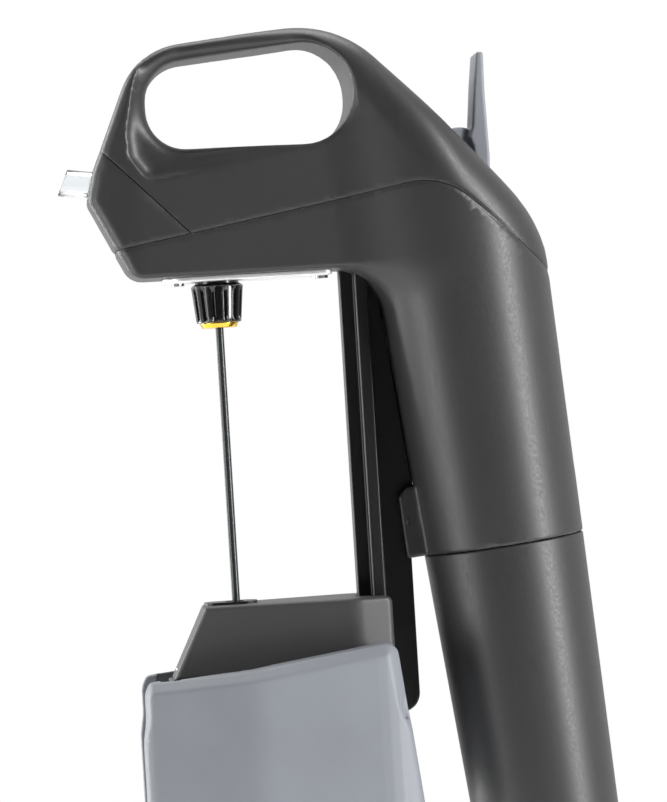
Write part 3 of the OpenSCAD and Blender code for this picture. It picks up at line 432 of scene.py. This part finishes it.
def rail_field(x, y, z):
    z = z - HEAD_Z
    y = np.abs(y)
    tongue = box(x, y, z, (RAIL_X, -TONGUE_HALF, RAIL_END), (WEB_X, TONGUE_HALF, 0), 0.3)
    flange = box(x, y, z, (FLANGE_X, -FLANGE_HALF, RAIL_END), (WEB_X, FLANGE_HALF, 0), 0.4)
    web = outline(rounded([(FLANGE_X, RAIL_END, 0), (WEB_REAR, RAIL_END, 4.5), (WEB_REAR, SEAM_T + 1.2, 0),
                           (WEB_REAR + 1.4, SEAM_T + 2.2, 0), (WEB_REAR + 1.4, LUG_TOP - 0.6, 0),
                           (tube_front(LUG_TOP) - 0.05, LUG_TOP + 0.4, 0), (tube_front(0) - 0.05, 0, 0),
                           (FLANGE_X, 0, 0)]), x, z)
    out = join(join(tongue, flange, 0.15), cut(web, y - WEB_HALF, 0.3), 0.5)
    pin = np.hypot(x - WEB_REAR, z - RAIL_PIN_Z) - 1.1
    return np.maximum(np.maximum(out, -pin), z)


# ---- clamp ----
BLOCK_LOW, BLOCK_TOP, BLOCK_REAR = 5, 22, 36.3
PAD_REACH, GUIDE_SEAT_R = 8.05, 3.53


def block_field(x, y, z):
    side = outline(rounded([(-16.2, BLOCK_LOW, 0), (BLOCK_REAR, BLOCK_LOW, 0),
                            (BLOCK_REAR, BLOCK_TOP, 1.6), (-7.7, BLOCK_TOP, 1.2)]), x, z)
    plan = outline(rounded([(-30, -4, 0), (27.5, -13, 8), (38.3, -9.5, 2), (38.3, 9.5, 2), (27.5, 13, 8),
                            (-30, 4, 0)]), x, y)
    out = cut(side, plan, 1.1)
    out = np.maximum(out, BLOCK_LOW - z)
    y = np.abs(y)
    x0, x1, half = FLANGE_X - SLIDE_GAP, WEB_X + SLIDE_GAP, FLANGE_HALF + SLIDE_GAP
    slot = np.minimum(np.maximum(RAIL_X - SLIDE_GAP - x, y - TONGUE_HALF - SLIDE_GAP),
                      box(x, y, z, (x0, -half, 0), (x1, half, 60)))
    pads = np.minimum(box(x, y, z, (x0, FLANGE_HALF, 7), (x1, PAD_REACH, 12)),
                      box(x, y, z, (x0, FLANGE_HALF, 15), (x1, PAD_REACH, 20)))
    out = cut(out, -slot, 0.25)
    out = np.maximum(out, -pads)
    out = np.maximum(out, GUIDE_SEAT_R - np.hypot(x, y))
    screws = np.minimum(np.maximum(np.hypot(x - 19, y - 7.5) - 1.2, z - 14.4),
                        np.maximum(np.hypot(x + 14, y) - 1.2, z - 7.7))
    return np.maximum(out, -screws)


WING_HALF, WING_FRONT, WING_REAR, WING_DROP, WING_WALL = 25.5, 24.6, 44.4, 34.0, 3.0
WING_SIDE = [(-WING_FRONT, -WING_DROP, 6), (41.0, -WING_DROP, 6), (35.5, 12, 3), (2, 7.4, 40),
             (-WING_FRONT, 5.2, 4)]
WING_PLAN = [(-WING_FRONT, -15, 5), (2, -WING_HALF, 20), (WING_REAR, -WING_HALF, 14), (WING_REAR, 12, 0),
             (-WING_FRONT, 12, 0)]
HINGE_Y, HINGE_Z = 17.5, 1.5
GRIP_R, GRIP_TOP, GRIP_H = 17.0, -4.0, 27.0
KNUCKLES = (2.4, 16.0)


def wing_field(x, y, z):
    side, plan = outline(rounded(WING_SIDE), x, z), outline(rounded(WING_PLAN), x, y)
    solid = cut(side, plan, 1.2)
    # flat band along the top edge
    band = (side + plan) / math.sqrt(2) + 1.75 * step(-12, -2, z)
    solid = cut(solid, band, 0.35)
    deep = [(px, pz - 30 if pz < -20 else pz, r) for px, pz, r in WING_SIDE]
    hollow = np.maximum(outline(rounded(deep), x, z) + 2.4, plan + WING_WALL)
    out = np.maximum(solid, -hollow)
    out = cut(out, y + 10, 0.4)
    relief = np.maximum(box(x, y, z, (-19.5, -15.5, -2.2), (60, 15, 30)), plan + WING_WALL)
    out = np.maximum(out, -relief)
    carrier = box(x, y, z, (-GRIP_R, -40, GRIP_TOP - GRIP_H), (GRIP_R, -5, GRIP_TOP), 0.5)
    for k in KNUCKLES:
        rib = box(x, y, z, (k, -40, HINGE_Z - 1.5), (k + 7.6, -HINGE_Y, HINGE_Z + 1.5))
        carrier = np.minimum(carrier, rib)
    out = join(out, np.maximum(carrier, plan + WING_WALL - 0.6), 0.5)
    out = np.maximum(out, GRIP_R - np.hypot(x, y))
    for k in KNUCKLES:
        knuckle = np.maximum(np.hypot(y + HINGE_Y, z - HINGE_Z) - 2.5, np.abs(x - k - 3.8) - 3.8)
        out = np.minimum(out, knuckle)
    # step in the rear edge, below the top corner
    out = cut(out, -box(x, y, z, (36.2, -30, -6), (45, -21.5, -1)), 0.3)
    bore = np.maximum(np.hypot(y + HINGE_Y, z - HINGE_Z) - 1.55, np.abs(x - 13) - 15)
    return np.maximum(out, -bore)


def grip_field(x, y, z):
    r = np.hypot(x, y)
    inner = 14 + 2 * np.clip((GRIP_TOP - GRIP_H + 3 - z) / 3, 0, 1)
    ridge = 0.28 * (0.5 + 0.5 * np.cos(z * 2 * math.pi / 2.6))
    out = cut(r - GRIP_R, inner + ridge - r, 0.3)
    out = cut(out, y + 5, 0.4)
    return cut(out, np.abs(z - GRIP_TOP + GRIP_H / 2) - GRIP_H / 2, 0.3)


def mirrored_copy(obj, name):
    """The same piece across the width, with its normals and face order kept."""
    m = obj.data
    normals = np.empty(len(m.loops) * 3, np.float32)
    m.corner_normals.foreach_get("vector", normals)
    total = np.empty(len(m.polygons), np.int32)
    start = np.empty(len(m.polygons), np.int32)
    m.polygons.foreach_get("loop_total", total)
    m.polygons.foreach_get("loop_start", start)
    vert = np.empty(len(m.loops), np.int32)
    m.loops.foreach_get("vertex_index", vert)
    co = np.empty(len(m.vertices) * 3, np.float32)
    m.vertices.foreach_get("co", co)
    co = co.reshape(-1, 3) * np.array((1, -1, 1), np.float32)
    index = np.arange(len(vert))
    face = np.repeat(np.arange(len(total)), total)
    back = start[face] + (total[face] - 1 - (index - start[face]))
    corners = [back[start[total == k][:, None] + np.arange(k)] for k in np.unique(total)]
    faces = [vert[c] for c in corners]
    order = np.concatenate([c.ravel() for c in corners])
    out = new_mesh(name, co / MM, faces)
    n = normals.reshape(-1, 3)[order] * np.array((1, -1, 1), np.float32)
    out.data.shade_smooth()
    out.data.normals_split_custom_set(n)
    return out


# ---- base plate ----
def plate_field(x, y, z):
    plan = outline(rounded([(-13, -9.5, 6), (27, -9.5, 2), (27, 9.5, 2), (-13, 9.5, 6)]), x, y)
    out = cut(plan, np.abs(z - HEAD_Z + 0.6) - 0.6, 0.25)
    out = cut(out, NUT_WELL_R - np.hypot(x, y), 0.2)
    holes = np.minimum(np.hypot(x + 9.5, y), np.hypot(x - 24, y)) - 0.9
    return np.maximum(out, -holes)


# ---- turned pieces ----
NUT_TOP, NUT_H, NUT_R = HEAD_Z - 1.8, 9.2, 6.25
NUT_BORE_R, NUT_NECK_R = 0.96, 5.2
FLUTES, FLUTE_R = 14, 0.62
RING_T, RING_BORE_R = 1.2, 1.6
CUP_RIM_R, CUP_FLOOR_T = 16.2, 3


def build_nut():
    low = NUT_TOP - NUT_H
    profile = [(NUT_BORE_R, low), (NUT_R - 1.3, low), (NUT_R - 1.0, low + 0.12), (NUT_R - 0.9, low + 0.4)]
    heights = np.linspace(low + 1.2, NUT_TOP - 0.75, 12)
    profile += [(NUT_R - 0.9 + 0.9 * (h - low) / NUT_H, h) for h in heights]
    profile += [(NUT_R - 0.02, NUT_TOP - 0.55), (NUT_R - 0.45, NUT_TOP - 0.1), (NUT_R - 0.7, NUT_TOP),
                (NUT_NECK_R + 0.1, NUT_TOP), (NUT_NECK_R, NUT_TOP + 0.1), (NUT_NECK_R, HEAD_Z + WALL),
                (NUT_BORE_R, HEAD_Z + WALL)]
    obj = lathe("needle_nut_visual", profile, FLUTES * 20)
    co = np.empty(len(obj.data.vertices) * 3, np.float32)
    obj.data.vertices.foreach_get("co", co)
    co = co.reshape(-1, 3) / MM
    a = np.arctan2(co[:, 1], co[:, 0]) * FLUTES / (2 * math.pi)
    off = np.abs(a - np.round(a)) * 2 * math.pi * NUT_R / FLUTES
    r = np.hypot(co[:, 0], co[:, 1])
    groove = np.sqrt(np.maximum(0, FLUTE_R ** 2 - off ** 2)) * (r > NUT_NECK_R + 0.05)
    fade = step(low + 0.2, low + 1.4, co[:, 2]) * (1 - step(NUT_TOP - 1.2, NUT_TOP - 0.5, co[:, 2]))
    scale = 1 - groove * fade / np.maximum(r, 1)
    co[:, :2] *= scale[:, None]
    obj.data.vertices.foreach_set("co", (co * MM).astype(np.float32).ravel())
    smooth_edges(obj, 35)
    return obj


def smooth_edges(obj, degrees=30):
    obj.data.shade_smooth()
    obj.data.set_sharp_from_angle(angle=math.radians(degrees))


def build_cup():
    top = SEAM_T - 0.12
    floor = CUP_END_T + CUP_FLOOR_T
    profile = rounded([(0.01, CUP_END_T, 0), (CUP_END_R - 0.6, CUP_END_T, 5), (CUP_END_R, CUP_END_T + 8, 20),
                       (SEAM_R - 0.05, top, 0.45), (CUP_RIM_R, top, 0.3), (CUP_RIM_R, SEAM_T - 10, 0),
                       (CUP_RIM_R - 0.3, SEAM_T - 10.4, 0), (CUP_END_R - 2.6, floor, 0.5),
                       (0.01, floor, 0)], 6)
    obj = lathe("cup_visual", profile, 160, tube_place)
    smooth_edges(obj, 30)
    return obj


def build_ring():
    low = NUT_TOP - NUT_H - RING_T
    r = NUT_R
    profile = rounded([(RING_BORE_R, low, 0.1), (r - 2.2, low, 0.25), (r - 1.6, low + RING_T, 0.15),
                       (RING_BORE_R, low + RING_T, 0.1)], 4)
    obj = lathe("needle_ring_visual", profile, 96)
    smooth_edges(obj, 40)
    return obj


def build_needle():
    r, tip = NEEDLE_R, NEEDLE_TIP
    collar, collar_r = HEAD_Z + 2.1, 3.0
    profile = [(0.005, tip), (0.12, tip + 0.1), (0.3, tip + 0.9), (0.62, tip + 2.4),
               (0.86, tip + 3.6), (r, tip + 4.6)]
    profile += [(r, z) for z in np.linspace(tip + 8, HEAD_Z + 1, 8)]
    profile += [(r, collar - 0.02), (collar_r - 0.1, collar), (collar_r, collar + 0.1),
                (collar_r, collar + 5.9), (collar_r - 0.1, collar + 6), (0.005, collar + 6)]
    obj = lathe("needle_visual", profile, 48)
    smooth_edges(obj, 35)
    return obj


def build_spout():
    inner = SPOUT_R - SPOUT_WALL
    back = -SPOUT_IN + 0.1
    profile = [(SPOUT_R, back), (SPOUT_R, 0), (SPOUT_R, SPOUT_OUT - 0.15), (SPOUT_R - 0.15, SPOUT_OUT),
               (inner + 0.15, SPOUT_OUT), (inner, SPOUT_OUT - 0.15), (inner, 0), (inner, back)]

    def place(p):
        d, y, t = p[:, 0], p[:, 1], p[:, 2]
        slant = math.tan(SPOUT_SLANT) * (d + SPOUT_R)
        t = t - slant * (t > 1)
        ca, sa = math.cos(SPOUT_TILT), math.sin(SPOUT_TILT)
        return np.column_stack([SPOUT[0] - t * ca + d * sa, y, HEAD_Z + SPOUT[1] + t * sa + d * ca])

    obj = lathe("spout_visual", profile, 72, place)
    smooth_edges(obj, 40)
    return obj


# ---- materials ----
GRAIN_DEPTH = 0.00004


def noise(tree, where, scale, detail):
    n = tree.nodes.new("ShaderNodeTexNoise")
    n.inputs["Scale"].default_value, n.inputs["Detail"].default_value = scale, detail
    tree.links.new(where, n.inputs["Vector"])
    return n.outputs["Fac"]


def spread(tree, value, low, high, start=0.3, stop=0.7):
    n = tree.nodes.new("ShaderNodeMapRange")
    n.inputs["From Min"].default_value, n.inputs["From Max"].default_value = start, stop
    n.inputs["To Min"].default_value, n.inputs["To Max"].default_value = low, high
    tree.links.new(value, n.inputs["Value"])
    return n.outputs["Result"]


def tinted(tree, base, factor):
    n = tree.nodes.new("ShaderNodeMix")
    n.data_type, n.blend_type = "RGBA", "MULTIPLY"
    n.inputs[0].default_value = 1.0
    n.inputs[6].default_value = (*base, 1)
    tree.links.new(factor, n.inputs[7])
    return n.outputs[2]


def finish_of(name, base, rough, metallic=0.0, vary=0.05, grain=1500.0, bump=0.12, edge_highlight=0.0,
              brushed=False, coat=0.0):
    """Material with mottled colour, uneven roughness, fine grain and convex edges lightened, a painted edge
    highlight.
    """
    m = bpy.data.materials.new(name)
    m.use_nodes = True
    t = m.node_tree
    p = t.nodes["Principled BSDF"]
    where = t.nodes.new("ShaderNodeTexCoord").outputs["Object"]
    if brushed:
        stretch = t.nodes.new("ShaderNodeMapping")
        stretch.inputs["Scale"].default_value = (1, 1, 0.05)
        t.links.new(where, stretch.inputs["Vector"])
        fine_at = stretch.outputs["Vector"]
    else:
        fine_at = where
    fine = noise(t, fine_at, grain, 3.0)
    broad = noise(t, where, 45.0, 4.0)
    shade_range = spread(t, broad, 1 - vary, 1 + vary)
    colour = tinted(t, base, shade_range)
    # painted edge highlight: convex edges found by pointiness are mixed towards a lighter copy of the base
    # colour
    if edge_highlight:
        point = t.nodes.new("ShaderNodeNewGeometry").outputs["Pointiness"]
        edge = spread(t, point, 0.0, edge_highlight, 0.53, 0.62)
        mix = t.nodes.new("ShaderNodeMix")
        mix.data_type = "RGBA"
        mix.inputs[7].default_value = (*[min(1, c * 2.2 + 0.02) for c in base], 1)
        t.links.new(edge, mix.inputs[0])
        t.links.new(colour, mix.inputs[6])
        colour = mix.outputs[2]
    t.links.new(colour, p.inputs["Base Color"])
    t.links.new(spread(t, fine, rough - 0.05, rough + 0.06), p.inputs["Roughness"])
    p.inputs["Metallic"].default_value = metallic
    p.inputs["Coat Weight"].default_value = coat
    p.inputs["Coat Roughness"].default_value = 0.12
    ridge = t.nodes.new("ShaderNodeBump")
    ridge.inputs["Strength"].default_value, ridge.inputs["Distance"].default_value = bump, GRAIN_DEPTH
    t.links.new(fine, ridge.inputs["Height"])
    t.links.new(ridge.outputs["Normal"], p.inputs["Normal"])
    return m


def clear_plastic(name):
    m = finish_of(name, (0.93, 0.95, 0.96), 0.08, vary=0.01, bump=0.02)
    p = m.node_tree.nodes["Principled BSDF"]
    p.inputs["Transmission Weight"].default_value = 1.0
    p.inputs["IOR"].default_value = 1.4
    return m


# the edge keyword on the charcoal, grey and black finishes sets how strongly their convex edges are painted
# lighter as an edge highlight
MATERIALS = {
    "shell_charcoal": finish_of("shell_charcoal", (0.027, 0.027, 0.028), 0.42, edge_highlight=0.25, bump=0.2),
    "clamp_charcoal": finish_of("clamp_charcoal", (0.045, 0.045, 0.046), 0.45, edge_highlight=0.3, bump=0.2),
    "wing_grey": finish_of("wing_grey", (0.2, 0.212, 0.235), 0.5, edge_highlight=0.2, bump=0.25),
    "trigger_grey": finish_of("trigger_grey", (0.2, 0.212, 0.235), 0.5, edge_highlight=0.2, bump=0.25),
    "rail_black": finish_of("rail_black", (0.007, 0.007, 0.008), 0.36, edge_highlight=0.15, bump=0.08),
    "nut_black": finish_of("nut_black", (0.004, 0.004, 0.004), 0.2, coat=0.4, bump=0.05),
    "ring_gold": finish_of("ring_gold", (0.78, 0.5, 0.07), 0.22, metallic=1.0, bump=0.06, brushed=True),
    "needle_steel": finish_of("needle_steel", (0.045, 0.048, 0.05), 0.28, metallic=0.6, bump=0.05,
                              brushed=True),
    "plate_silver": finish_of("plate_silver", (0.84, 0.84, 0.85), 0.36, metallic=0.6, bump=0.1,
                              brushed=True),
    "spout_clear": clear_plastic("spout_clear"),
    "rubber_black": finish_of("rubber_black", (0.02, 0.02, 0.02), 0.75, bump=0.35, grain=900.0),
    "screw_steel": finish_of("screw_steel", (0.5, 0.5, 0.51), 0.28, metallic=1.0, bump=0.06),
    "spring_steel": finish_of("spring_steel", (0.45, 0.45, 0.47), 0.3, metallic=1.0, bump=0.05),
    "inner_white": finish_of("inner_white", (0.72, 0.72, 0.7), 0.45, bump=0.1),
    "regulator_metal": finish_of("regulator_metal", (0.58, 0.58, 0.6), 0.3, metallic=1.0, bump=0.08,
                                 brushed=True),
    "brass": finish_of("brass", (0.72, 0.5, 0.22), 0.28, metallic=1.0, bump=0.06),
    "capsule_steel": finish_of("capsule_steel", (0.62, 0.63, 0.65), 0.24, metallic=1.0, bump=0.05,
                               brushed=True),
}


def dress(obj, body, slot, *nodes):
    obj.data.materials.clear()
    obj.data.materials.append(MATERIALS[slot])
    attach(obj, body)
    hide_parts(*nodes)


# ---- materials of the pieces kept from the frame ----
for part in frame["record"]["subparts"]:
    mesh = frame["nodes"][part["node"]].data
    mesh.materials.clear()
    mesh.materials.append(MATERIALS[part["material_slot"]])

# ---- pieces ----
lower_shell, upper_shell, front_cover = build_head()
dress(lower_shell, "head", "shell_charcoal", "lower_housing")
dress(upper_shell, "head", "shell_charcoal", "handle_shell")
dress(front_cover, "head", "shell_charcoal", "spout_cover")
thumb_trigger = built("thumb_trigger", trigger_field, (50, -6, 113), (68, 6, 151), 0.3)
guide_rail = built("guide_rail", rail_field, (27, -7, -8), (45, 7, 101), 0.3)
sliding_block = built("sliding_block", block_field, (-18, -14, 4), (37, 14, 23), 0.35)
dress(thumb_trigger, "trigger", "trigger_grey", "trigger")
dress(guide_rail, "head", "rail_black", "rail")
dress(sliding_block, "clamp", "clamp_charcoal", "clamp_block")
near_wing = built("near_clamp_wing", wing_field, (-26, -27, -36), (44, -4, 14), 0.4, False)
near_grip = built("near_neck_grip", grip_field, (-18, -18, -32), (18, -4, -3), 0.4, False)
dress(mirrored_copy(near_wing, "far_clamp_wing"), "far_wing", "wing_grey", "wing_far")
dress(mirrored_copy(near_grip, "far_neck_grip"), "far_wing", "rubber_black", "grip_far")
dress(near_wing, "near_wing", "wing_grey", "wing_near")
dress(near_grip, "near_wing", "rubber_black", "grip_near")
under_plate = built("under_plate", plate_field, (-14, -10, 98), (28, 10, 101), 0.25)
dress(under_plate, "head", "plate_silver", "base_plate")
dress(build_nut(), "needle", "nut_black", "needle_nut")
dress(build_ring(), "needle", "ring_gold", "needle_ring")
dress(build_needle(), "needle", "needle_steel", "needle")
dress(build_cup(), "cup", "shell_charcoal", "capsule_cup")
dress(build_spout(), "head", "spout_clear", "spout")


# ---- floor and light ----
FLOOR_HALF, FLOOR_Z = 750.0, -260.0


def build_floor():
    corners = np.array([(-1, -1), (1, -1), (1, 1), (-1, 1)]) * FLOOR_HALF
    floor = new_mesh("floor", np.column_stack([corners, np.full(4, FLOOR_Z)]), [np.array([(0, 1, 2, 3)])])
    m = bpy.data.materials.new("floor")
    m.use_nodes = True
    t = m.node_tree
    p = t.nodes["Principled BSDF"]
    where = t.nodes.new("ShaderNodeTexCoord").outputs["Object"]
    fleck = noise(t, where, 60.0, 4.0)
    t.links.new(spread(t, fleck, 0.78, 0.82), p.inputs["Base Color"])
    p.inputs["Roughness"].default_value = 0.9
    p.inputs["Emission Color"].default_value = (1, 1, 1, 1)
    p.inputs["Emission Strength"].default_value = 0.3
    floor.data.materials.append(m)


def build_world():
    """White where it is seen, and darker towards the front where it only lights the object."""
    world = bpy.data.worlds.new("studio")
    bpy.context.scene.world = world
    world.use_nodes = True
    t = world.node_tree
    seen = t.nodes["Background"]
    seen.inputs["Color"].default_value = (1, 1, 1, 1)
    seen.inputs["Strength"].default_value = 1.0
    lit = t.nodes.new("ShaderNodeBackground")
    split = t.nodes.new("ShaderNodeSeparateXYZ")
    t.links.new(t.nodes.new("ShaderNodeTexCoord").outputs["Generated"], split.inputs[0])
    t.links.new(spread(t, split.outputs["Y"], 0.04, 0.95, -0.62, 0.55), lit.inputs["Strength"])
    path = t.nodes.new("ShaderNodeLightPath")
    either = t.nodes.new("ShaderNodeMath")
    either.operation = "MAXIMUM"
    t.links.new(path.outputs["Is Camera Ray"], either.inputs[0])
    t.links.new(path.outputs["Is Transmission Ray"], either.inputs[1])
    mix = t.nodes.new("ShaderNodeMixShader")
    t.links.new(either.outputs[0], mix.inputs[0])
    t.links.new(lit.outputs[0], mix.inputs[1])
    t.links.new(seen.outputs[0], mix.inputs[2])
    t.links.new(mix.outputs[0], t.nodes["World Output"].inputs["Surface"])


def area(name, at, size, power, aim=(0.02, 0, 0.06)):
    data = bpy.data.lights.new(name, "AREA")
    data.shape, data.size, data.size_y, data.energy = "RECTANGLE", size[0], size[1], power
    o = bpy.data.objects.new(name, data)
    bpy.context.collection.objects.link(o)
    o.location = at
    o.rotation_euler = (Vector(aim) - Vector(at)).to_track_quat("-Z", "Y").to_euler()


# ---- camera ----
AIM = Vector((0.0261, 0.0, 0.0686))
AZIMUTH, ELEVATION, ROLL = math.radians(-5), math.radians(0), math.radians(3.5)
DISTANCE, LENS = 0.850, 160.083


def make_camera():
    data = bpy.data.cameras.new("photo_camera")
    cam = bpy.data.objects.new("photo_camera", data)
    bpy.context.collection.objects.link(cam)
    back = Vector((math.sin(AZIMUTH) * math.cos(ELEVATION),
                   -math.cos(AZIMUTH) * math.cos(ELEVATION), math.sin(ELEVATION)))
    turn = (-back).to_track_quat("-Z", "Y").to_matrix() @ Matrix.Rotation(-ROLL, 3, "Z")
    cam.matrix_world = Matrix.Translation(AIM + back * DISTANCE) @ turn.to_4x4()
    data.lens, data.sensor_width = LENS, 36.0
    data.clip_start, data.clip_end = 0.01, 50.0
    bpy.context.scene.camera = cam


build_floor()
build_world()
area("key_right", (1.05, -0.7, 0.35), (0.2, 1.3), 27)
area("top", (0.0, 0.3, 1.25), (1.1, 0.7), 13)
area("rim_left", (-1.1, 0.7, 0.25), (0.5, 1.4), 20)
area("fill_left", (-1.15, -0.45, -0.1), (0.5, 1.0), 10)
make_camera()
bpy.context.scene.view_settings.view_transform = "Standard"
